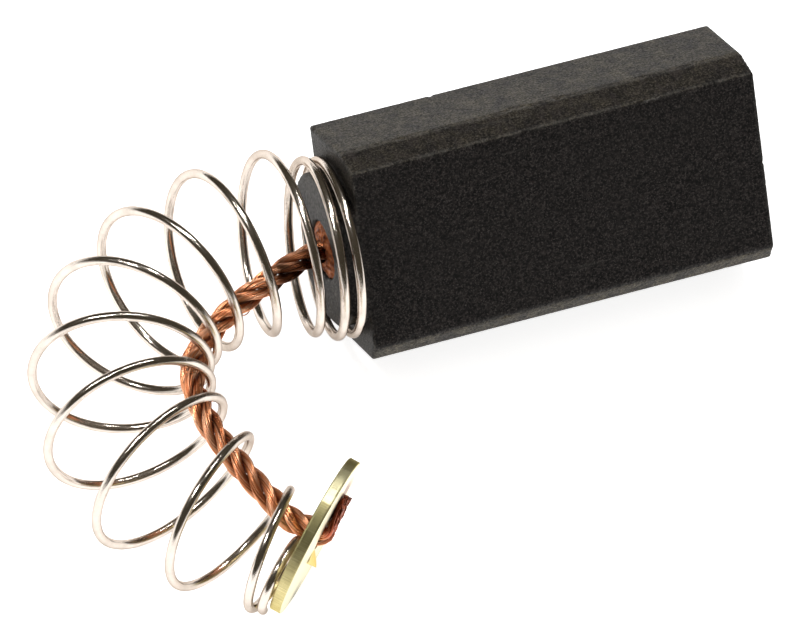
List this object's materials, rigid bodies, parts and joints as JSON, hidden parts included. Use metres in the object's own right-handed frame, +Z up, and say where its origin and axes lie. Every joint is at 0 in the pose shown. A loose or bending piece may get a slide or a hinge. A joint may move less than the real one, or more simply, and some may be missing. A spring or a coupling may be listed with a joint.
{
  "type": "carbon brush",
  "caption": "Carbon motor brush: bevelled carbon block with a curled pressure spring around a stranded copper shunt that ends in a brass contact disc",
  "frame": {"origin": "Centre of the contact face, the end of the carbon that runs on the commutator", "axes": "+X is the outward normal of the contact face and runs along the length of the carbon. +Z is up with the brush lying at rest on one long edge of the carbon and on the spring. +Y completes the right-handed set, and the spring curls towards -Y."},
  "size_m": [0.0404, 0.0248, 0.0123],
  "materials": {
    "carbon": "matt, fine-grained",
    "tamping": "granular",
    "copper": "bright drawn wire",
    "spring_wire": "bright plated",
    "brass": "bright, with a striated edge"
  },
  "bodies": {
    "root": {"carbon_block": "carbon", "copper_tamping": "tamping", "shunt_strand_1": "copper", "shunt_strand_2": "copper", "shunt_strand_3": "copper", "shunt_strand_4": "copper", "pressure_spring": "spring_wire", "contact_disc": "brass"}
  },
  "joints": []
}
